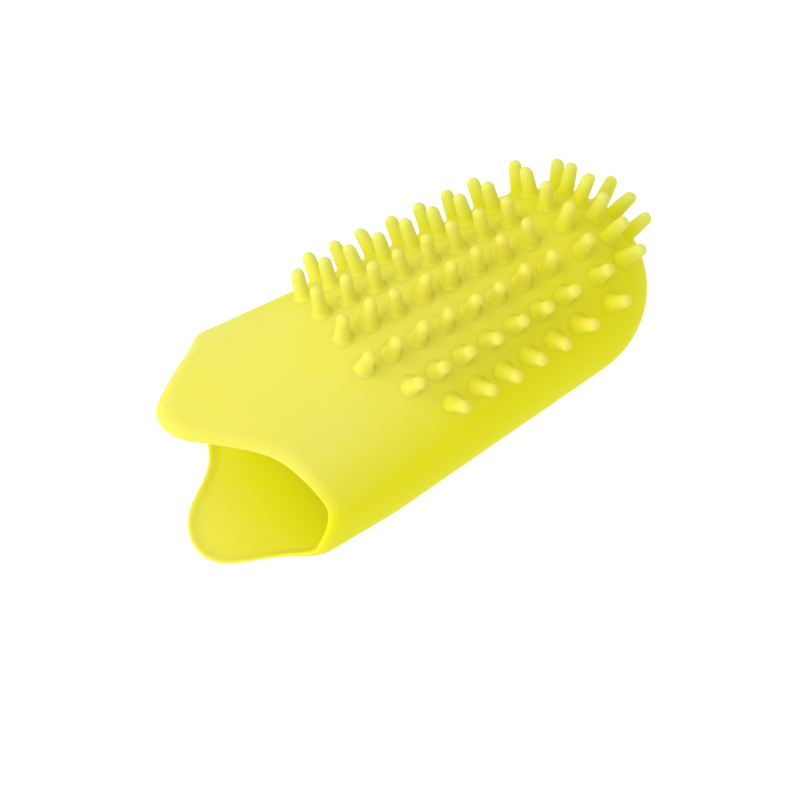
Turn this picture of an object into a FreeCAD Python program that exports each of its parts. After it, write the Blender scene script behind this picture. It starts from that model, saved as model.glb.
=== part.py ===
import FreeCAD, Part
import math
import os

import Sketcher

# Finger-cot pet toothbrush, in millimetres.
#
# The sleeve is made in its own frame: X runs along its axis towards the closed dome, Z points to the
# bristle side, and X = 0 is the mouth datum, just inside the two side notches. lay_down() then turns
# every piece so that the narrow flat strip under the sleeve lies on the plane Z = 0.

SIZES = {
    "dome_radius": 10.5,           # half-width of the sleeve at the dome
    "height_ratio": 0.85,          # height of the oval section over its width
    "taper_angle": 4.75,           # how fast the side of the sleeve closes in, in degrees
    "barrel_length": 30.3,         # mouth datum to the centre of the dome
    "wall": 1.5,
    "blank_reach": 17.0,           # tube ahead of the datum, before the lips are cut
    "upper_lip_reach": 13.4,
    "upper_lip_radius": 3.7,
    "upper_flank_angle": 34.0,
    "lower_lip_reach": 11.8,
    "lower_lip_radius": 5.4,
    "lower_flank_angle": 35.0,
    "flank_blend": 3.0,            # hollow radius between a lip's flank and the notch
    "notch_reach": 2.5,            # datum to the deepest point of the notch
    "shoulder_angle": 63.0,        # slope of the rim beside the notch
    "rim_round": 0.45,
    "rest_depth": 0.12,            # how deep the strip that the sleeve lies on is cut
    "pin_root_radius": 0.78,
    "pin_tip_radius": 0.66,
    "pin_height": 3.4,
    "pin_pitch": 3.11,
    "row_end_gap": 1.33,           # last pin of a straight row to the centre of the dome
    "row_angle": 18.3,             # one row to the next, round the oval
    "root_gap": 0.05,              # between a bending row and the wall that it springs from
    "dome_pin_height": 3.1,
    "dome_pin_sink": 0.5,          # how far a dome pin starts inside the wall before it is trimmed
    "low_ring_latitude": 15.5,
    "middle_ring_latitude": 37.0,
    "high_ring_latitude": 61.0,
    "high_ring_step": 30.0,
    "high_ring_turn": 10.0,        # the high ring's centre, past the crest
}

# Row: places round the oval from the crest, number of pins. All of them end at one station.
ROWS = {
    "a": (-3, 6),
    "b": (-2, 7),
    "c": (-1, 8),
    "d": (0, 8),
    "e": (1, 8),
    "f": (2, 8),
    "g": (3, 7),
}
LOW_RING_ROWS = "abcdefg"
MIDDLE_RING_ROWS = "bcdefg"
HIGH_RING_PLACES = (-1, 0, 1)

TAPER = "(Sizes.taper_angle * 1 deg)"


def make_sheet(doc):
    sheet = doc.addObject("Spreadsheet::Sheet", "Sizes")
    for row, (alias, value) in enumerate(SIZES.items(), start=1):
        sheet.set(f"A{row}", alias)
        sheet.set(f"B{row}", str(value))
        sheet.setAlias(f"B{row}", alias)
    doc.recompute()
    return sheet


doc = FreeCAD.newDocument("pet_toothbrush")
sheet = make_sheet(doc)


def size(alias):
    return float(sheet.get(alias))


def half_width_at(station):
    """Expression for the sleeve's outer half-width at a station, itself an expression."""
    return f"(Sizes.dome_radius / cos({TAPER}) + (Sizes.barrel_length - ({station})) * tan({TAPER}))"


def plane(body, role):
    return next(item for item in body.Origin.OriginFeatures if item.Role == role)


def new_body(name):
    body = doc.addObject("PartDesign::Body", name)
    body.Label = name
    return body


def new_sketch(body, name, role):
    sketch = body.newObject("Sketcher::SketchObject", name)
    sketch.AttachmentSupport = [(plane(body, role), "")]
    sketch.MapMode = "FlatFace"
    return sketch


def constrain(sketch, *constraint):
    return sketch.addConstraint(Sketcher.Constraint(*constraint))


def bind(sketch, name, expression, *constraint):
    """Add a constraint, name it and bind it to the sheet."""
    sketch.renameConstraint(constrain(sketch, *constraint), name)
    sketch.setExpression(f"Constraints.{name}", expression)


# ---------------------------------------------------------------- places

def outer_half_width(x):
    taper = math.radians(size("taper_angle"))
    return size("dome_radius") / math.cos(taper) + (size("barrel_length") - x) * math.tan(taper)


def lay_down():
    """The turn that brings the strip under the sleeve onto Z = 0, with X = 0 below the mouth datum."""
    ratio = size("height_ratio")
    dip = math.atan(ratio * math.tan(math.radians(size("taper_angle"))))
    half_height = ratio * outer_half_width(0)
    rise = half_height * math.cos(dip) - size("rest_depth")
    lift = FreeCAD.Vector(half_height * math.sin(dip), 0, rise)
    return FreeCAD.Placement(lift, FreeCAD.Rotation(FreeCAD.Vector(0, 1, 0), math.degrees(dip)))


def pin_spot(point, normal, along):
    """A placement with Z along the wall's normal and X along the wall."""
    return FreeCAD.Placement(point, FreeCAD.Rotation(along, normal.cross(along), normal, "ZXY"))


def barrel_spot(x, angle):
    """The spot on the tapering wall at x, and at an angle round the oval from the crest."""
    slope, ratio = math.tan(math.radians(size("taper_angle"))), size("height_ratio")
    sine, cosine = math.sin(math.radians(angle)), math.cos(math.radians(angle))
    point = FreeCAD.Vector(x, outer_half_width(x) * sine, ratio * outer_half_width(x) * cosine)
    normal = FreeCAD.Vector(slope, sine, cosine / ratio)
    along = FreeCAD.Vector(1, -slope * sine, -ratio * slope * cosine)
    return pin_spot(point, normal, along)


def dome_spot(latitude, angle):
    """The spot on the dome at a latitude, and at an angle round the oval from the crest."""
    radius, ratio = size("dome_radius"), size("height_ratio")
    rise, spread = math.sin(math.radians(latitude)), math.cos(math.radians(latitude))
    sine, cosine = math.sin(math.radians(angle)), math.cos(math.radians(angle))
    point = FreeCAD.Vector(size("barrel_length") + radius * rise, radius * spread * sine,
                           ratio * radius * spread * cosine)
    normal = FreeCAD.Vector(rise, spread * sine, spread * cosine / ratio)
    along = FreeCAD.Vector(spread, -rise * sine, -ratio * rise * cosine)
    return pin_spot(point, normal, along)


# ---------------------------------------------------------------- sleeve

def oval_sketch(body, name, station, half_width, ratio):
    """An ellipse across the sleeve's axis; the last three arguments are expressions."""
    sketch = new_sketch(body, name, "YZ_Plane")
    sketch.setExpression("AttachmentOffset.Base.z", station)
    sketch.addGeometry(Part.Ellipse(FreeCAD.Vector(0, 0, 0), 12, 10))
    sketch.exposeInternalGeometry(0)
    constrain(sketch, "Coincident", 0, 3, -1, 1)
    constrain(sketch, "Horizontal", 1)
    bind(sketch, "across", f"2 * ({half_width})", "Distance", 1, 24)
    bind(sketch, "high", f"2 * ({ratio}) * ({half_width})", "Distance", 2, 20)
    return sketch


def tapered_oval(body, kind, name, radius, ratio):
    """An oval loft from ahead of the lips to the dome, and the part of an ellipsoid that closes it.

    The loft ends where the ellipsoid's latitude is the taper angle, so the two are tangent there.
    """
    neck_station = f"Sizes.barrel_length + ({radius}) * sin({TAPER})"
    neck_width = f"({radius}) * cos({TAPER})"
    mouth_width = f"{neck_width} + ({neck_station} + Sizes.blank_reach) * tan({TAPER})"
    loft = body.newObject(f"PartDesign::{kind}Loft", f"{name}_barrel")
    loft.Profile = oval_sketch(body, f"{name}_mouth", "-Sizes.blank_reach", mouth_width, ratio)
    loft.Sections = [oval_sketch(body, f"{name}_neck", neck_station, neck_width, ratio)]
    loft.Ruled = True
    doc.recompute()
    dome = body.newObject(f"PartDesign::{kind}Ellipsoid", f"{name}_dome")
    dome.AttachmentSupport = [(plane(body, "YZ_Plane"), "")]
    dome.MapMode = "FlatFace"
    dome.setExpression("AttachmentOffset.Base.z", "Sizes.barrel_length")
    dome.setExpression("Radius1", radius)
    dome.setExpression("Radius2", radius)
    dome.setExpression("Radius3", f"({ratio}) * ({radius})")
    dome.setExpression("Angle1", "Sizes.taper_angle")
    doc.recompute()


def arc(centre, radius, first, last):
    circle = Part.Circle(centre, FreeCAD.Vector(0, 0, 1), radius)
    return Part.ArcOfCircle(circle, first, last)


def lip_sketch(body, side):
    """What is cut away round one lip, seen from above: tip arc, flanks, hollow blends and shoulders."""
    sketch = new_sketch(body, f"{side}_lip_outline", "XY_Plane")
    quarter = math.pi / 2
    radius, blend = size(f"{side}_lip_radius"), size("flank_blend")
    flank = math.radians(size(f"{side}_flank_angle"))
    shoulder = math.radians(size("shoulder_angle"))
    run = FreeCAD.Vector(math.cos(flank), math.sin(flank), 0)
    left = FreeCAD.Vector(-math.sin(flank), math.cos(flank), 0)

    tip = FreeCAD.Vector(radius - size(f"{side}_lip_reach"), 0, 0)
    start = tip + left * radius
    before = start + run * blend
    hollow = before + left * blend
    after = hollow + FreeCAD.Vector(math.sin(shoulder), -math.cos(shoulder), 0) * blend
    end = FreeCAD.Vector(-size("notch_reach"), outer_half_width(0) + 2, 0)
    back = FreeCAD.Vector(-size("blank_reach") - 2, end.y, 0)

    def flip(point):
        return FreeCAD.Vector(point.x, -point.y, 0)

    line = Part.LineSegment
    sketch.addGeometry([
        arc(tip, radius, quarter + flank, 3 * quarter - flank),
        line(start, before),
        arc(hollow, blend, flank - quarter, shoulder - quarter),
        line(after, end),
        line(end, back),
        line(back, flip(back)),
        line(flip(back), flip(end)),
        line(flip(end), flip(after)),
        arc(flip(hollow), blend, quarter - shoulder, quarter - flank),
        line(flip(before), flip(start)),
    ])
    for join in ((0, 1, 1, 1), (1, 2, 2, 1), (2, 2, 3, 1), (7, 2, 8, 1), (8, 2, 9, 1), (9, 2, 0, 2)):
        constrain(sketch, "Tangent", *join)
    for join in ((3, 2, 4, 1), (4, 2, 5, 1), (5, 2, 6, 1), (6, 2, 7, 1)):
        constrain(sketch, "Coincident", *join)
    constrain(sketch, "Horizontal", 4)
    constrain(sketch, "Vertical", 5)
    constrain(sketch, "Horizontal", 6)
    constrain(sketch, "PointOnObject", 0, 3, -1)
    constrain(sketch, "Equal", 2, 8)
    constrain(sketch, "Symmetric", 3, 2, 6, 2, -1)

    clear = f"(Sizes.blank_reach * tan({TAPER}) + 1)"
    edge = f"({half_width_at('-Sizes.notch_reach')} + {clear})"
    bind(sketch, "tip_radius", f"Sizes.{side}_lip_radius", "Radius", 0, radius)
    bind(sketch, "tip_centre", f"Sizes.{side}_lip_reach - Sizes.{side}_lip_radius",
         "DistanceX", 0, 3, -1, 1, -tip.x)
    bind(sketch, "blend", "Sizes.flank_blend", "Radius", 2, blend)
    bind(sketch, "flank", f"Sizes.{side}_flank_angle", "Angle", 1, flank)
    bind(sketch, "flank_mirror", f"180 - Sizes.{side}_flank_angle", "Angle", 9, math.pi - flank)
    bind(sketch, "shoulder", "Sizes.shoulder_angle", "Angle", 3, shoulder)
    bind(sketch, "shoulder_mirror", "180 - Sizes.shoulder_angle", "Angle", 7, math.pi - shoulder)
    bind(sketch, "edge_out", edge, "DistanceY", -1, 1, 3, 2, end.y)
    bind(sketch, "edge_back", f"Sizes.notch_reach - {clear} / tan(Sizes.shoulder_angle * 1 deg)",
         "DistanceX", 3, 2, -1, 1, -end.x)
    bind(sketch, "back", "Sizes.blank_reach + 2", "DistanceX", 5, 1, -1, 1, -back.x)
    return sketch


def cut_lip(body, side):
    """Trim the blank tube to one lip, above or below the sleeve's axis."""
    before = body.Shape.Volume
    pocket = body.newObject("PartDesign::Pocket", f"{side}_lip_cut")
    pocket.Profile = lip_sketch(body, side)
    pocket.Type = "ThroughAll"
    pocket.Reversed = side == "upper"
    doc.recompute()
    if body.Shape.Volume > before - 1:
        raise RuntimeError(f"{pocket.Name} cuts nothing")


def cut_rest(body):
    """Trim the underside to the narrow strip that the sleeve lies on, along its straight lowest line."""
    dip = f"atan(Sizes.height_ratio * tan({TAPER}))"
    strip = f"Sizes.height_ratio * {half_width_at('0')} - Sizes.rest_depth / cos({dip})"
    sketch = new_sketch(body, "rest_outline", "XZ_Plane")
    low, deep = -outer_half_width(0) + 2, -outer_half_width(0) - 6
    corners = [FreeCAD.Vector(x, z, 0) for x, z in ((-30, low), (60, low + 4), (60, deep), (-30, deep))]
    sketch.addGeometry([Part.LineSegment(corner, corners[number - 3])
                        for number, corner in enumerate(corners)])
    for line in range(4):
        constrain(sketch, "Coincident", line, 2, (line + 1) % 4, 1)
    constrain(sketch, "Vertical", 1)
    constrain(sketch, "Horizontal", 2)
    constrain(sketch, "Vertical", 3)
    bind(sketch, "front", "Sizes.blank_reach + 2", "DistanceX", 0, 1, -1, 1, 30)
    bind(sketch, "back", "Sizes.barrel_length + 2 * Sizes.dome_radius", "DistanceX", -1, 1, 0, 2, 60)
    bind(sketch, "start", f"{strip} + Sizes.height_ratio * (Sizes.blank_reach + 2) * tan({TAPER})",
         "DistanceY", 0, 1, -1, 1, -low)
    bind(sketch, "dip", dip, "Angle", 0, math.radians(4))
    bind(sketch, "under", "2 * Sizes.dome_radius", "DistanceY", 2, 1, -1, 1, -deep)
    before = body.Shape.Volume
    pocket = body.newObject("PartDesign::Pocket", "rest_cut")
    pocket.Profile = sketch
    pocket.Type = "ThroughAll"
    pocket.Midplane = True
    doc.recompute()
    if not before - 60 < body.Shape.Volume < before - 1:
        raise RuntimeError(f"the strip under the sleeve takes {before - body.Shape.Volume:.1f} mm3")


def stands_upright(face):
    """True for a face that was cut straight along Z."""
    first_u, last_u, first_v, last_v = face.ParameterRange
    spots = [(first_u + (last_u - first_u) * across, first_v + (last_v - first_v) * up)
             for across in (0.2, 0.5, 0.8) for up in (0.2, 0.5, 0.8)]
    return all(abs(face.normalAt(*spot).z) < 1e-6 for spot in spots)


def rim_edges(shape):
    """Names of the edges between the cut faces of the mouth and the walls of the sleeve."""
    cut_faces = [face for face in shape.Faces if face.BoundBox.XMax < 0 and stands_upright(face)]
    names = []
    for number, edge in enumerate(shape.Edges, start=1):
        owners = sum(any(edge.isSame(other) for other in face.Edges) for face in cut_faces)
        if owners == 1:
            names.append(f"Edge{number}")
    return names


def make_sleeve():
    body = new_body("finger_sleeve")
    tapered_oval(body, "Additive", "outer", "Sizes.dome_radius", "Sizes.height_ratio")
    inner_ratio = ("(Sizes.height_ratio * Sizes.dome_radius - Sizes.wall)"
                   " / (Sizes.dome_radius - Sizes.wall)")
    tapered_oval(body, "Subtractive", "inner", "Sizes.dome_radius - Sizes.wall", inner_ratio)
    cut_lip(body, "upper")
    cut_lip(body, "lower")
    trimmed = body.Tip
    rim = body.newObject("PartDesign::Fillet", "rim")
    rim.Base = (trimmed, rim_edges(trimmed.Shape))
    rim.setExpression("Radius", "Sizes.rim_round")
    doc.recompute()
    cut_rest(body)
    body.Placement = lay_down()
    doc.recompute()
    return body


# ---------------------------------------------------------------- bristles

def pin_sketch(body):
    """Half of a round-ended pin, standing on the body's origin with a small gap under its foot."""
    sketch = new_sketch(body, f"{body.Name}_pin_outline", "XZ_Plane")
    root, tip = size("pin_root_radius"), size("pin_tip_radius")
    gap, height = size("root_gap"), size("pin_height")
    foot, crown = FreeCAD.Vector(0, gap + root, 0), FreeCAD.Vector(0, height - tip, 0)
    quarter = math.pi / 2
    sketch.addGeometry([
        arc(foot, root, -quarter, 0),
        Part.LineSegment(foot + FreeCAD.Vector(root, 0, 0), crown + FreeCAD.Vector(tip, 0, 0)),
        arc(crown, tip, 0, quarter),
        Part.LineSegment(FreeCAD.Vector(0, height, 0), FreeCAD.Vector(0, gap, 0)),
    ])
    for join in ((0, 2, 1, 1), (1, 2, 2, 1), (2, 2, 3, 1), (3, 2, 0, 1)):
        constrain(sketch, "Coincident", *join)
    for end in ((0, 3), (2, 3), (3, 1), (3, 2)):
        constrain(sketch, "PointOnObject", *end, -2)
    constrain(sketch, "Horizontal", 0, 3, 0, 2)
    constrain(sketch, "Horizontal", 2, 3, 2, 1)
    bind(sketch, "root", "Sizes.pin_root_radius", "Radius", 0, root)
    bind(sketch, "tip", "Sizes.pin_tip_radius", "Radius", 2, tip)
    bind(sketch, "height", "Sizes.pin_height", "DistanceY", -1, 1, 3, 1, height)
    bind(sketch, "gap", "Sizes.root_gap", "DistanceY", -1, 1, 3, 2, gap)
    return sketch


def make_row(letter):
    """One straight row of pins along the barrel, on the line that the barrel's taper gives it."""
    place, count = ROWS[letter]
    body = new_body(f"bristle_row_{letter}")
    body.AllowCompound = True
    sketch = pin_sketch(body)
    pin = body.newObject("PartDesign::Revolution", f"{body.Name}_pin")
    pin.Profile = sketch
    pin.ReferenceAxis = (sketch, ["V_Axis"])
    pin.Angle = 360
    doc.recompute()
    row = body.newObject("PartDesign::LinearPattern", f"{body.Name}_pattern")
    row.Originals = [pin]
    row.Direction = (sketch, ["H_Axis"])
    row.setExpression("Length", f"Sizes.pin_pitch * {count - 1}")
    row.Occurrences = count
    body.Tip = row
    start = size("barrel_length") - size("row_end_gap") - (count - 1) * size("pin_pitch")
    body.Placement = lay_down() * barrel_spot(start, place * size("row_angle"))
    return body


def dome_pin():
    """A round-ended pin that starts inside the wall."""
    root, tip = size("pin_root_radius"), size("pin_tip_radius")
    sink, crown = size("dome_pin_sink"), size("dome_pin_height") - tip
    shaft = Part.makeCone(root, tip, crown + sink, FreeCAD.Vector(0, 0, -sink))
    return shaft.fuse(Part.makeSphere(tip, FreeCAD.Vector(0, 0, crown))).removeSplitter()


def make_tip_bristles(sleeve):
    """The three rings of pins over the dome, trimmed to stand on it."""
    low = [dome_spot(size("low_ring_latitude"), ROWS[letter][0] * size("row_angle"))
           for letter in LOW_RING_ROWS]
    middle = [dome_spot(size("middle_ring_latitude"), ROWS[letter][0] * size("row_angle"))
              for letter in MIDDLE_RING_ROWS]
    high = [dome_spot(size("high_ring_latitude"),
                      size("high_ring_turn") + place * size("high_ring_step"))
            for place in HIGH_RING_PLACES]
    pins = doc.addObject("Part::Feature", "dome_pins")
    pins.Shape = Part.makeCompound([dome_pin().transformed(spot.toMatrix()) for spot in low + middle + high])
    pins.Placement = lay_down()
    trimmed = doc.addObject("Part::Cut", "tip_bristles")
    trimmed.Label = "tip_bristles"
    trimmed.Base = pins
    trimmed.Tool = sleeve
    return trimmed


# ---------------------------------------------------------------- build

def check(nodes):
    for item in doc.Objects:
        if "Invalid" in item.State or "Error" in item.State:
            raise RuntimeError(f"{item.Name} failed: {item.State}")
    for node in nodes:
        if node.Shape.isNull() or not node.Shape.isValid():
            raise RuntimeError(f"{node.Label} has no valid shape")


sleeve = make_sleeve()
nodes = [sleeve] + [make_row(letter) for letter in ROWS] + [make_tip_bristles(sleeve)]
doc.recompute()
check(nodes)

os.makedirs("parts", exist_ok=True)
for node in nodes:
    node.Shape.exportStep(f"parts/{node.Label}.step")
    print(node.Label, len(node.Shape.Solids), "solids", round(node.Shape.Volume, 1), "mm3")
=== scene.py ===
import math
import random

import bpy
import numpy as np
from mathutils import Matrix, Vector


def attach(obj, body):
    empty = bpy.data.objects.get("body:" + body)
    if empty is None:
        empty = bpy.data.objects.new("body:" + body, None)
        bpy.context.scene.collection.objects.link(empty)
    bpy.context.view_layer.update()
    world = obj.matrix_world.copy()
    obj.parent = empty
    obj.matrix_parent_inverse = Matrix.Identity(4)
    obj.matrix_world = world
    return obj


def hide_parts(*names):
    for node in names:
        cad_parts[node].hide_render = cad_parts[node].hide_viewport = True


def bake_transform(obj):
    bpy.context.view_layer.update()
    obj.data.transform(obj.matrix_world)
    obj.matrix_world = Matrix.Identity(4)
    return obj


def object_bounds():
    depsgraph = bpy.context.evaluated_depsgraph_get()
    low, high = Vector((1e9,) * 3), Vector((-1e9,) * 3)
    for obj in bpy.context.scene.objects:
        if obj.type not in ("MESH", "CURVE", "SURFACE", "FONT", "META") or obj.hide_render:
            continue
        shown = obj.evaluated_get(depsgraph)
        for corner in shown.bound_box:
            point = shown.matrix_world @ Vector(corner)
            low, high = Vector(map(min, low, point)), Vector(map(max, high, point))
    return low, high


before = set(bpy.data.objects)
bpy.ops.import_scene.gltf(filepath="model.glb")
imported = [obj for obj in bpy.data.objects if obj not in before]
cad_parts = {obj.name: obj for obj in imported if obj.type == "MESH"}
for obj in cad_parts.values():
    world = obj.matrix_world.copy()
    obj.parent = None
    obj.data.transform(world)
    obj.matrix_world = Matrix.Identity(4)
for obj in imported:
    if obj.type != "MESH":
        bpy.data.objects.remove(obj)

CAD_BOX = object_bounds()

# ---------------------------------------------------------------- sizes, in millimetres
#
# The sleeve's own frame has X along its axis towards the dome and Z up through the crest, with
# X = 0 at the mouth datum. The near side is -Y and the far side is +Y. laid_down() turns it onto
# its straight underside, as the row frame has it.
#
# A span (start, end) is where a change sets in and where it is complete. It may run either way.

MM = 0.001                     # in metres

DOME_RADIUS = 10.5
HEIGHT_RATIO = 0.85            # height of the oval against its width
TAPER = math.radians(4.75)
BARREL_LENGTH = 30.3           # from the mouth datum to the centre of the dome
WALL = 1.5

NOTCH_REACH = 2.5              # how far ahead of the mouth datum the side notches lie
SHOULDER = math.radians(63)    # the line from a notch to a flank, against the axis
# A lip's flanks lean by one angle on the near side of the crest line and another on the far side.
UPPER_LIP = {"reach": 13.4, "radius": 3.7, "near": math.radians(34), "far": math.radians(40)}
LOWER_LIP = {"reach": 11.8, "radius": 5.4, "near": math.radians(35), "far": math.radians(29)}
FLANK_BLEND = 1.2              # how softly a lip's flank runs into the shoulder
FAR_CORNER = 0.12              # how the rim rounds off towards the far notch, per mm squared
FAR_CORNER_START = 10.5        # and from where along Y

RIM_INSET = 0.85               # where the rounded rim leaves the walls
RIM_THINNING = 0.6             # how much thinner the wall is at the rim
RIM_THINNING_SPAN = (2, -6)    # along X
RIM_EDGE_SHIFT = 0.25          # how far the rim's edge moves out with the thinned wall

# The soft mouth as it lies.
UPPER_SIDE = (-3, 4)           # along Z, from the lower half to the upper
NOTCH_SLANT = 0.07             # the mouth's slant from side to side, at the notches
NOTCH_SLANT_SPAN = (-8, -2)    # along Z
LIP_SLANT = 0.05               # and the other way on the near side of the upper lip
SLANT_SPAN = (6, -2)           # along X, for both slants
LIP_SHIFT = (0.3, 0.45)        # where the upper lip's tip comes to rest, along X and Y
LIP_SHIFT_SPAN = (-2, -12)     # along X
LIP_FLARE = 0.045              # how the upper lip bends up, per mm ahead of its start
LIP_FLARE_START = -1           # along X
MOUTH_SQUEEZE = 0.0062         # how the near side draws in towards the mouth, per mm
MOUTH_SQUEEZE_START = 5        # along X
MOUTH_SQUEEZE_LENGTH = 9
MOUTH_SQUEEZE_SPAN = (6, -2)   # along Z
REST_DEPTH = 0.12              # how deep the soft underside is flattened where it lies

PIN_ROOT_RADIUS = 0.78
PIN_TIP_RADIUS = 0.66
PIN_HEIGHT = 3.4
PIN_PITCH = 3.11
PIN_HEIGHT_SPREAD = 0.02       # how unlike the pins are, as a share of their height
PIN_LEAN_SPREAD = 0.05         # and how far their tips lean
PIN_LEAN_POWER = 1.5           # how a lean grows from the root
ROW_END_GAP = 1.33             # last pin of a straight row to the centre of the dome
ROW_ANGLE = math.radians(18.3)
FOOT_FILLET = 0.45
FOOT_DEPTH = 0.3               # how deep a pin's foot is sunk in the wall
SIDE_PIN_HEIGHTS = {"f": 3.2, "g": 3.0}
DOME_PIN_HEIGHT = 3.1
LOW_RING = math.radians(15.5)
MIDDLE_RING = math.radians(37)
HIGH_RING = math.radians(61)
HIGH_RING_STEP = math.radians(30)
HIGH_RING_TURN = math.radians(10)

# Row: places round the oval from the crest, number of pins.
ROWS = {
    "a": (-3, 6),
    "b": (-2, 7),
    "c": (-1, 8),
    "d": (0, 8),
    "e": (1, 8),
    "f": (2, 8),
    "g": (3, 7),
}
MIDDLE_RING_ROWS = "bcdefg"

# How finely the meshes are divided.
AROUND = 288                   # points round the sleeve
DOME_RINGS = 22
BARREL_RINGS = 30
MOUTH_RINGS = 16
RIM_POINTS = 11                # across the rounded rim, with both walls
FIRST_LATITUDE = math.radians(87)
MOUTH_ZONE = 4.0               # x from which the rings turn into the line of the rim
PIN_AROUND = 20
SUNK_FOOT = ((0.4, -FOOT_DEPTH), (0.8, -0.22), (1.0, -0.06))    # share of the foot's radius, height
FILLET_TURNS = np.linspace(0.12, 1, 6) * math.pi / 2
SHAFT_SHARES = (0.25, 0.5, 0.75)
TIP_TURNS = np.linspace(0, 0.93, 8) * math.pi / 2

RIM_ROUNDS = 40                # rounds that find the rim on the tapering wall
WALL_ROUNDS = 4                # rounds that lay a foot on the wall
SLACK = 0.01

rng = random.Random(7)


# ---------------------------------------------------------------- colours, lights and camera

DEEP_COLOUR = (0.785, 0.755, 0.007)
# Painted light: this paler colour is mixed into the deep yellow along the crest, towards the mouth
# and at the lips, as on a lit side.
PAINTED_LIGHT_COLOUR = (0.82, 0.78, 0.12)
# Painted highlight on the bristles' tips: cream on the near side, and greener on the far side and
# the dome, as light shining through them.
NEAR_TIP_PAINTED_HIGHLIGHT = (0.82, 0.75, 0.115)
FAR_TIP_PAINTED_LIGHT = (0.77, 0.79, 0.16)

# Each fade is (start, end, amount at the start, amount at the end), in metres of the row frame
# where it runs along an axis.
# Where the painted light is mixed in: more towards the mouth, up along the crest and at the lips.
PAINTED_LIGHT_ALONG_X = (-0.004, 0.042, 1, 0.4)
PAINTED_LIGHT_UP_Z = (0.0132, 0.0192, 0, 1)
PAINTED_LIGHT_AT_LIPS_X = (-0.002, -0.011, 0, 0.85)
MOTTLE_FADE = (0.3, 0.7, 0.8, 1.2)
# TIP_FADE brings the painted tip light in up each pin; FAR_TIPS_Y and DOME_TIPS_X pick its greener
# far and dome version.
TIP_FADE = (0.2, 1, 0, 1)
FAR_TIPS_Y = (-0.001, 0.007, 0, 1)
DOME_TIPS_X = (0.034, 0.039, 0, 1)
ROUGHNESS_FADE = (0.3, 0.7, 0.58, 0.7)

MOTTLE_NOISE = (160, 3)        # scale, detail
GRAIN_NOISE = (2600, 4)
GRAIN_STRENGTH = 0.12
GRAIN_DEPTH = 0.00005

CAMERA_TARGET = (11.78, -3.59, 11.0 - REST_DEPTH)
CAMERA_DISTANCE = 495.15
CAMERA_AZIMUTH = math.radians(22.56)
CAMERA_ELEVATION = math.radians(58.26)
CAMERA_ROLL = math.radians(-12.16)

FLOOR_REACH = 1.5              # in metres
FLOOR_COLOUR = (0.1, 0.1, 0.1, 1)
FLOOR_GLOW = 0.95
WHITE = (1, 1, 1, 1)
WORLD_STRENGTH = 0.78


# ---------------------------------------------------------------- the sleeve's surface

def dome_start(inset=0.0):
    """x at which the straight wall runs into the dome, to which it is tangent."""
    return BARREL_LENGTH + (DOME_RADIUS - inset) * math.sin(TAPER)


def half_width(x, inset=0.0):
    """Half-width of the oval at x, on the outer wall or at a depth inside it."""
    radius = DOME_RADIUS - inset
    x = np.asarray(x, float)
    taper = radius / math.cos(TAPER) + (BARREL_LENGTH - x) * math.tan(TAPER)
    dome = np.sqrt(np.clip(radius ** 2 - (x - BARREL_LENGTH) ** 2, 1e-12, None))
    return np.where(x < dome_start(inset), taper, dome)


def height_ratio(inset=0.0):
    return (HEIGHT_RATIO * DOME_RADIUS - inset) / (DOME_RADIUS - inset)


def surface(x, angle, inset=0.0):
    """Points on the wall, at x and at an angle round the oval from the crest."""
    width = half_width(x, inset)
    y = width * np.sin(angle)
    z = height_ratio(inset) * width * np.cos(angle)
    return np.stack([x + 0 * width, y, z], -1)


def outward(x, angle):
    """Directions straight out of the outer wall, not of unit length."""
    x = np.asarray(x, float)
    slope = np.where(x > dome_start(), (x - BARREL_LENGTH) / half_width(x), math.tan(TAPER))
    return np.stack([slope + 0 * angle, np.sin(angle), np.cos(angle) / HEIGHT_RATIO], -1)


def normal(x, angle):
    """Outward unit normals of the outer wall."""
    vector = outward(x, angle)
    return vector / np.linalg.norm(vector, axis=-1, keepdims=True)


def laid_down(points):
    """From the sleeve's own frame, in millimetres, to the row frame, in metres.

    What would reach below the ground is flattened onto it.
    """
    dip = math.atan(HEIGHT_RATIO * math.tan(TAPER))
    half_height = HEIGHT_RATIO * float(half_width(0.0))
    x, y, z = np.moveaxis(np.asarray(points, float), -1, 0)
    along = x * math.cos(dip) + (z + half_height) * math.sin(dip)
    height = (z + half_height) * math.cos(dip) - x * math.sin(dip) - REST_DEPTH
    return np.stack([along, y, np.maximum(height, 0)], -1) * MM


# ---------------------------------------------------------------- mesh helpers

def rings_mesh(name, tubes):
    """One mesh of closed tubes, each given as (first pole, rings, last pole).

    Faces look outward where the rings turn anticlockwise, seen from the first pole, as a pin's do.
    The sleeve's turn the other way, so its faces look inward.
    """
    vertices, faces = [], []
    for first, rings, last in tubes:
        count, around = rings.shape[:2]
        base = len(vertices)
        vertices.append(first)
        vertices.extend(rings.reshape(-1, 3))
        vertices.append(last)
        end = len(vertices) - 1

        def at(ring, spot):
            return base + 1 + ring * around + spot % around

        for spot in range(around):
            faces.append((base, at(0, spot), at(0, spot + 1)))
            faces.append((end, at(count - 1, spot + 1), at(count - 1, spot)))
            for ring in range(count - 1):
                faces.append((at(ring, spot), at(ring + 1, spot),
                              at(ring + 1, spot + 1), at(ring, spot + 1)))
    mesh = bpy.data.meshes.new(name)
    mesh.from_pydata([tuple(point) for point in laid_down(np.array(vertices))], [], faces)
    mesh.polygons.foreach_set("use_smooth", [True] * len(mesh.polygons))
    mesh.update()
    piece = bpy.data.objects.new(name, mesh)
    bpy.context.scene.collection.objects.link(piece)
    return piece


def ramp(value, span):
    """0 before a span and 1 after it, with soft ends."""
    start, end = span
    share = np.clip((value - start) / (end - start), 0, 1)
    return share * share * (3 - 2 * share)


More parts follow.
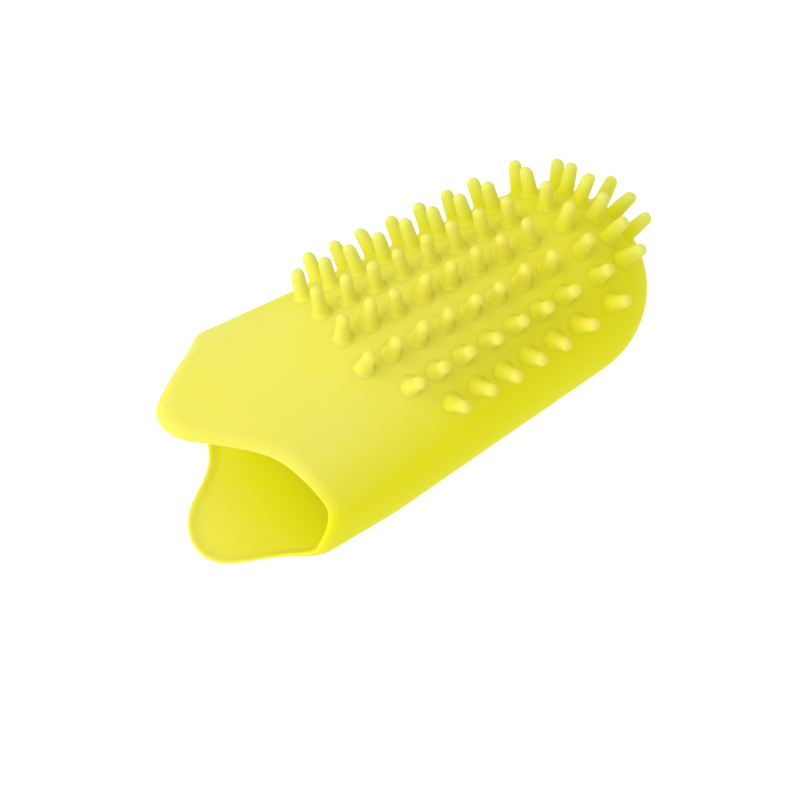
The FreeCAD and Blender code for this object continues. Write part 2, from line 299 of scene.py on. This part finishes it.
def soft_min(first, second, width):
    """The lower of two curves, with a rounded corner of about that width."""
    mix = np.clip(0.5 + 0.5 * (second - first) / width, 0, 1)
    return second + (first - second) * mix - width * mix * (1 - mix)


# ---------------------------------------------------------------- sleeve

def lip_line(lip, y):
    """x of a lip's outline, seen from above: tip arc, straight flank, shoulder to the notch."""
    radius, flank = lip["radius"], np.where(y > 0, lip["far"], lip["near"])
    rounding = FAR_CORNER * np.clip(y - FAR_CORNER_START, 0, None) ** 2
    y = np.abs(y)
    centre = radius - lip["reach"]
    arc_end = radius * np.cos(flank)
    arc = centre - np.sqrt(np.clip(radius ** 2 - y ** 2, 0, None))
    straight = centre - radius * np.sin(flank) + (y - arc_end) / np.tan(flank)
    notch_width = float(half_width(-NOTCH_REACH))
    shoulder = -NOTCH_REACH + (y - notch_width) / math.tan(SHOULDER)
    return soft_min(np.where(y < arc_end, arc, straight), shoulder, FLANK_BLEND) + rounding


def rim_line(angles, inset):
    """x of the rim on the wall at each angle."""
    x = np.full_like(angles, -NOTCH_REACH)
    for _ in range(RIM_ROUNDS):
        y = half_width(x, inset) * np.sin(angles)
        x = np.where(np.cos(angles) > 0, lip_line(UPPER_LIP, y), lip_line(LOWER_LIP, y))
    return x


def inset_rim(angles, inset):
    """(x, angle) a little way in from the rim, square to it, along the wall."""
    x = rim_line(angles, inset)
    points = surface(x, angles, inset)
    along = np.roll(points, -1, axis=0) - np.roll(points, 1, axis=0)
    inward = np.cross(along, normal(x, angles))
    inward /= np.linalg.norm(inward, axis=-1, keepdims=True)
    inward *= np.sign(inward[:, :1] + 1e-9)
    moved = points + inward * RIM_INSET
    width = half_width(moved[:, 0], inset)
    turned = np.arctan2(moved[:, 1] / width, moved[:, 2] / (height_ratio(inset) * width))
    turned = angles + (turned - angles + math.pi) % (2 * math.pi) - math.pi
    return moved[:, 0], turned


def wall_rings(angles, inset):
    """Rings from near the pole to the inset rim."""
    latitudes = np.linspace(FIRST_LATITUDE, TAPER, DOME_RINGS, endpoint=False)
    stations = list(BARREL_LENGTH + (DOME_RADIUS - inset) * np.sin(latitudes))
    stations += list(np.linspace(dome_start(inset), MOUTH_ZONE, BARREL_RINGS, endpoint=False))
    rings = [surface(np.full_like(angles, x), angles, inset) for x in stations]
    rim_x, rim_angles = inset_rim(angles, inset)
    for share in np.linspace(0, 1, MOUTH_RINGS):
        x = MOUTH_ZONE + (rim_x - MOUTH_ZONE) * share
        rings.append(surface(x, angles + (rim_angles - angles) * share, inset))
    return np.array(rings)


def at_rest(points):
    """The soft mouth as it lies: slanted, the upper lip flared, the near side drawn in."""
    x, y, z = np.moveaxis(points, -1, 0)
    near, upper = y < 0, ramp(z, UPPER_SIDE)
    slant = NOTCH_SLANT * (1 - upper) * ramp(z, NOTCH_SLANT_SPAN)
    slant = slant - np.where(near, LIP_SLANT, 0) * upper
    slant = slant * ramp(x, SLANT_SPAN)
    shift = upper * ramp(x, LIP_SHIFT_SPAN)
    flare = LIP_FLARE * upper * np.clip(LIP_FLARE_START - x, 0, None)
    squeeze = np.where(near, MOUTH_SQUEEZE, 0)
    squeeze = squeeze * np.clip(MOUTH_SQUEEZE_START - x, 0, MOUTH_SQUEEZE_LENGTH)
    squeeze = 1 - squeeze * ramp(z, MOUTH_SQUEEZE_SPAN)
    moved_x = x + y * slant + LIP_SHIFT[0] * shift
    moved_y = y * squeeze + LIP_SHIFT[1] * shift
    return np.stack([moved_x, moved_y, z + flare], -1)


def make_sleeve():
    """Outer wall, rounded rim and inner wall, as one closed tube from pole to pole."""
    angles = np.linspace(0, 2 * math.pi, AROUND, endpoint=False)
    outer, inner = wall_rings(angles, 0.0), wall_rings(angles, WALL)
    thinning = RIM_THINNING * ramp(outer[..., :1], RIM_THINNING_SPAN)
    inner = inner + (outer - inner) * thinning
    outer_edge = surface(rim_line(angles, 0.0), angles)
    inner_edge = surface(rim_line(angles, WALL), angles, WALL)
    edge = (outer_edge + inner_edge) / 2
    edge += (outer[-1] - inner[-1]) * RIM_THINNING * RIM_EDGE_SHIFT
    middle = (outer[-1] + inner[-1]) / 2
    across = (outer[-1] - inner[-1]) / 2
    rim = np.array([middle + across * math.cos(turn) + (edge - middle) * math.sin(turn)
                    for turn in np.linspace(0, math.pi, RIM_POINTS)[1:-1]])
    rings = at_rest(np.concatenate([outer, rim, inner[::-1]]))
    outer_pole = (BARREL_LENGTH + DOME_RADIUS, 0, 0)
    inner_pole = (BARREL_LENGTH + DOME_RADIUS - WALL, 0, 0)
    return rings_mesh("sleeve_skin", [(outer_pole, rings, inner_pole)])


# ---------------------------------------------------------------- bristles

def on_wall(points, direction):
    """Move points along a direction onto the outer wall."""
    for _ in range(WALL_ROUNDS):
        x, y, z = points[:, 0], points[:, 1], points[:, 2]
        gap = np.hypot(y, z / HEIGHT_RATIO) - half_width(x)
        gradient = outward(x, np.arctan2(y, z / HEIGHT_RATIO))
        points = points - direction * (gap / (gradient @ direction))[:, None]
    return points


def pin_profile(height):
    """(radius, height) of a pin's rings, from its sunk foot and flared root to the round tip."""
    shaft_top = height - PIN_TIP_RADIUS
    foot = PIN_ROOT_RADIUS + FOOT_FILLET
    profile = [(share * foot, up) for share, up in SUNK_FOOT]
    for turn in FILLET_TURNS:
        profile.append((foot - FOOT_FILLET * math.sin(turn), FOOT_FILLET * (1 - math.cos(turn))))
    for share in SHAFT_SHARES:
        profile.append((PIN_ROOT_RADIUS + (PIN_TIP_RADIUS - PIN_ROOT_RADIUS) * share,
                        FOOT_FILLET + (shaft_top - FOOT_FILLET) * share))
    for turn in TIP_TURNS:
        profile.append((PIN_TIP_RADIUS * math.cos(turn),
                        shaft_top + PIN_TIP_RADIUS * math.sin(turn)))
    return profile


def pin_tube(x, angle, height):
    """One pin standing on the wall, with the slight lean and stretch of a soft moulding."""
    out = normal(x, angle)
    base = surface(np.array(x), np.array(angle))
    along = np.cross(np.array([0.0, -out[2], out[1]]), out)
    along /= np.linalg.norm(along)
    across = np.cross(out, along)
    height = height * (1 + rng.gauss(0, PIN_HEIGHT_SPREAD))
    lean = along * rng.gauss(0, PIN_LEAN_SPREAD) + across * rng.gauss(0, PIN_LEAN_SPREAD)
    turns = np.linspace(0, 2 * math.pi, PIN_AROUND, endpoint=False)
    circle = np.cos(turns)[:, None] * along + np.sin(turns)[:, None] * across

    def lifted(up):
        return out * up + lean * height * (max(up, 0) / height) ** PIN_LEAN_POWER

    rings = []
    for radius, up in pin_profile(height):
        ring = base + circle * radius
        if up < FOOT_FILLET + SLACK:
            ring = on_wall(ring, out)
        rings.append(ring + lifted(up))
    return base + lifted(height), np.array(rings[::-1]), base + lifted(-FOOT_DEPTH)


def mark_tips(piece, tubes):
    """Store how far up its pin each vertex is, from 0 at the foot to 1 at the tip."""
    ups = []
    for tip, rings, foot in tubes:
        length = np.linalg.norm(tip - foot)
        spots = np.concatenate([tip[None], rings.reshape(-1, 3), foot[None]])
        ups.extend(np.clip((spots - foot) @ (tip - foot) / length ** 2, 0, 1))
    mark = piece.data.attributes.new("up_the_pin", "FLOAT", "POINT")
    mark.data.foreach_set("value", ups)


def row_line(letter):
    """(x, angle) of each pin of a straight row."""
    place, count = ROWS[letter]
    start = BARREL_LENGTH - ROW_END_GAP - (count - 1) * PIN_PITCH
    return [(start + number * PIN_PITCH, place * ROW_ANGLE) for number in range(count)]


def make_row(letter):
    line = row_line(letter)
    height = SIDE_PIN_HEIGHTS.get(letter, PIN_HEIGHT)
    tubes = [pin_tube(x, angle, height) for x, angle in line]
    piece = rings_mesh(f"bristles_{letter}", tubes)
    mark_tips(piece, tubes)
    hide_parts(f"bristle_row_{letter}")
    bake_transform(piece)
    return piece


def make_tip_bristles():
    spots = [(LOW_RING, place * ROW_ANGLE) for place, _ in ROWS.values()]
    spots += [(MIDDLE_RING, ROWS[letter][0] * ROW_ANGLE) for letter in MIDDLE_RING_ROWS]
    spots += [(HIGH_RING, HIGH_RING_TURN + place * HIGH_RING_STEP) for place in (-1, 0, 1)]
    tubes = [pin_tube(BARREL_LENGTH + DOME_RADIUS * math.sin(latitude), angle, DOME_PIN_HEIGHT)
             for latitude, angle in spots]
    piece = rings_mesh("bristles_tip", tubes)
    mark_tips(piece, tubes)
    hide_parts("tip_bristles")
    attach(piece, "sleeve")
    return piece


# ---------------------------------------------------------------- materials

def silicone(name, tips=None):
    """Soft matte silicone, with painted light: paler towards the mouth, at the lips and along the
    crest, as on a lit side.

    tips gives the near and the far painted light of the bristles' tips: a painted highlight on the
    near tips, and greener painted light shining through the far and dome tips.
    """
    material = bpy.data.materials.new(name)
    material.use_nodes = True
    nodes, links = material.node_tree.nodes, material.node_tree.links
    shader = nodes["Principled BSDF"]
    place = nodes.new("ShaderNodeTexCoord")
    axes = nodes.new("ShaderNodeSeparateXYZ")
    links.new(place.outputs["Object"], axes.inputs["Vector"])

    def noise(scale, detail):
        node = nodes.new("ShaderNodeTexNoise")
        node.inputs["Scale"].default_value = scale
        node.inputs["Detail"].default_value = detail
        links.new(place.outputs["Object"], node.inputs["Vector"])
        return node.outputs["Fac"]

    def fade(value, amounts):
        node = nodes.new("ShaderNodeMapRange")
        for socket, number in zip(("From Min", "From Max", "To Min", "To Max"), amounts):
            node.inputs[socket].default_value = number
        links.new(value, node.inputs["Value"])
        return node.outputs["Result"]

    def math_node(operation, first, second):
        node = nodes.new("ShaderNodeMath")
        node.operation = operation
        links.new(first, node.inputs[0])
        links.new(second, node.inputs[1])
        return node.outputs["Value"]

    def mix(factor, first, second):
        node = nodes.new("ShaderNodeMix")
        node.data_type = "RGBA"
        links.new(factor, node.inputs["Factor"])
        for socket, colour in (("A", first), ("B", second)):
            if isinstance(colour, tuple):
                node.inputs[socket].default_value = (*colour, 1)
            else:
                links.new(colour, node.inputs[socket])
        return node.outputs["Result"]

    # Painted light: paler along the crest, towards the mouth and at the lips, varied a little at
    # random by the mottle.
    crest = math_node("MULTIPLY", fade(axes.outputs["X"], PAINTED_LIGHT_ALONG_X),
                      fade(axes.outputs["Z"], PAINTED_LIGHT_UP_Z))
    painted_light = math_node("MAXIMUM", crest, fade(axes.outputs["X"], PAINTED_LIGHT_AT_LIPS_X))
    grain = noise(*GRAIN_NOISE)
    mottled_painted_light = math_node("MULTIPLY", painted_light, fade(noise(*MOTTLE_NOISE), MOTTLE_FADE))
    colour = mix(mottled_painted_light, DEEP_COLOUR, PAINTED_LIGHT_COLOUR)
    # Painted highlight: each bristle fades up to a paler tip, greener on the far side and the dome
    # as light shining through.
    if tips:
        mark = nodes.new("ShaderNodeAttribute")
        mark.attribute_name = "up_the_pin"
        far = math_node("MAXIMUM", fade(axes.outputs["Y"], FAR_TIPS_Y),
                        fade(axes.outputs["X"], DOME_TIPS_X))
        colour = mix(fade(mark.outputs["Fac"], TIP_FADE), colour, mix(far, *tips))
    links.new(colour, shader.inputs["Base Color"])
    links.new(fade(grain, ROUGHNESS_FADE), shader.inputs["Roughness"])
    bump = nodes.new("ShaderNodeBump")
    bump.inputs["Strength"].default_value = GRAIN_STRENGTH
    bump.inputs["Distance"].default_value = GRAIN_DEPTH
    links.new(grain, bump.inputs["Height"])
    links.new(bump.outputs["Normal"], shader.inputs["Normal"])
    shader.inputs["IOR"].default_value = 1.41
    shader.inputs["Specular IOR Level"].default_value = 0.15
    shader.inputs["Subsurface Weight"].default_value = 0.4
    shader.inputs["Subsurface Radius"].default_value = (1.0, 0.9, 0.12)
    shader.inputs["Subsurface Scale"].default_value = 0.0006
    return material


# ---------------------------------------------------------------- stage

def look_frame(azimuth, elevation, roll):
    """Right, up and back directions of a camera at that azimuth and elevation."""
    level_reach = math.cos(elevation)
    back = Vector((-math.sin(azimuth) * level_reach, -math.cos(azimuth) * level_reach,
                   math.sin(elevation)))
    level = Vector((math.cos(azimuth), -math.sin(azimuth), 0))
    rise = back.cross(level)
    right = level * math.cos(roll) + rise * math.sin(roll)
    up = rise * math.cos(roll) - level * math.sin(roll)
    return right, up, back


def make_camera():
    right, up, back = look_frame(CAMERA_AZIMUTH, CAMERA_ELEVATION, CAMERA_ROLL)
    data = bpy.data.cameras.new("camera")
    data.lens = 225
    data.sensor_width = 36
    data.clip_start = 0.01
    camera = bpy.data.objects.new("camera", data)
    bpy.context.scene.collection.objects.link(camera)
    turn = Matrix((right, up, back)).transposed().to_4x4()
    place = Vector(CAMERA_TARGET) * MM + back * (CAMERA_DISTANCE * MM)
    camera.matrix_world = Matrix.Translation(place) @ turn
    bpy.context.scene.camera = camera


def area_light(name, place, aim, size, power):
    """A round lamp. Places and sizes are in metres."""
    data = bpy.data.lights.new(name, "AREA")
    data.shape = "DISK"
    data.size = size
    data.energy = power
    light = bpy.data.objects.new(name, data)
    bpy.context.scene.collection.objects.link(light)
    light.location = place
    light.rotation_euler = (Vector(aim) - Vector(place)).to_track_quat("-Z", "Y").to_euler()


def make_stage():
    """A white floor that glows enough to show no shadow, an even white world and two lamps."""
    floor_mesh = bpy.data.meshes.new("floor")
    level = CAD_BOX[0].z
    corners = [(x * FLOOR_REACH, y * FLOOR_REACH, level)
               for x, y in ((-1, -1), (1, -1), (1, 1), (-1, 1))]
    floor_mesh.from_pydata(corners, [], [(0, 1, 2, 3)])
    floor = bpy.data.objects.new("floor", floor_mesh)
    bpy.context.scene.collection.objects.link(floor)
    material = bpy.data.materials.new("floor")
    material.use_nodes = True
    shader = material.node_tree.nodes["Principled BSDF"]
    shader.inputs["Base Color"].default_value = FLOOR_COLOUR
    shader.inputs["Roughness"].default_value = 0.9
    shader.inputs["Emission Color"].default_value = WHITE
    shader.inputs["Emission Strength"].default_value = FLOOR_GLOW
    floor_mesh.materials.append(material)

    world = bpy.data.worlds.new("studio")
    bpy.context.scene.world = world
    world.use_nodes = True
    background = world.node_tree.nodes["Background"]
    background.inputs["Color"].default_value = WHITE
    background.inputs["Strength"].default_value = WORLD_STRENGTH
    area_light("key", place=(-0.22, 0.08, 0.42), aim=(0.015, 0, 0.01), size=0.4, power=0.8)
    area_light("mouth_fill", place=(-0.34, -0.08, 0.2), aim=(0, 0, 0.012), size=0.2, power=0.3)
    bpy.context.scene.view_settings.view_transform = "Standard"


# ---------------------------------------------------------------- build

skin = make_sleeve()
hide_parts("finger_sleeve")
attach(skin, "sleeve")
bristles = [make_row(letter) for letter in ROWS] + [make_tip_bristles()]

skin.data.materials.append(silicone("sleeve_silicone"))
pin_silicone = silicone("bristle_silicone", tips=(NEAR_TIP_PAINTED_HIGHLIGHT, FAR_TIP_PAINTED_LIGHT))
for piece in bristles:
    piece.data.materials.append(pin_silicone)

make_camera()
make_stage()
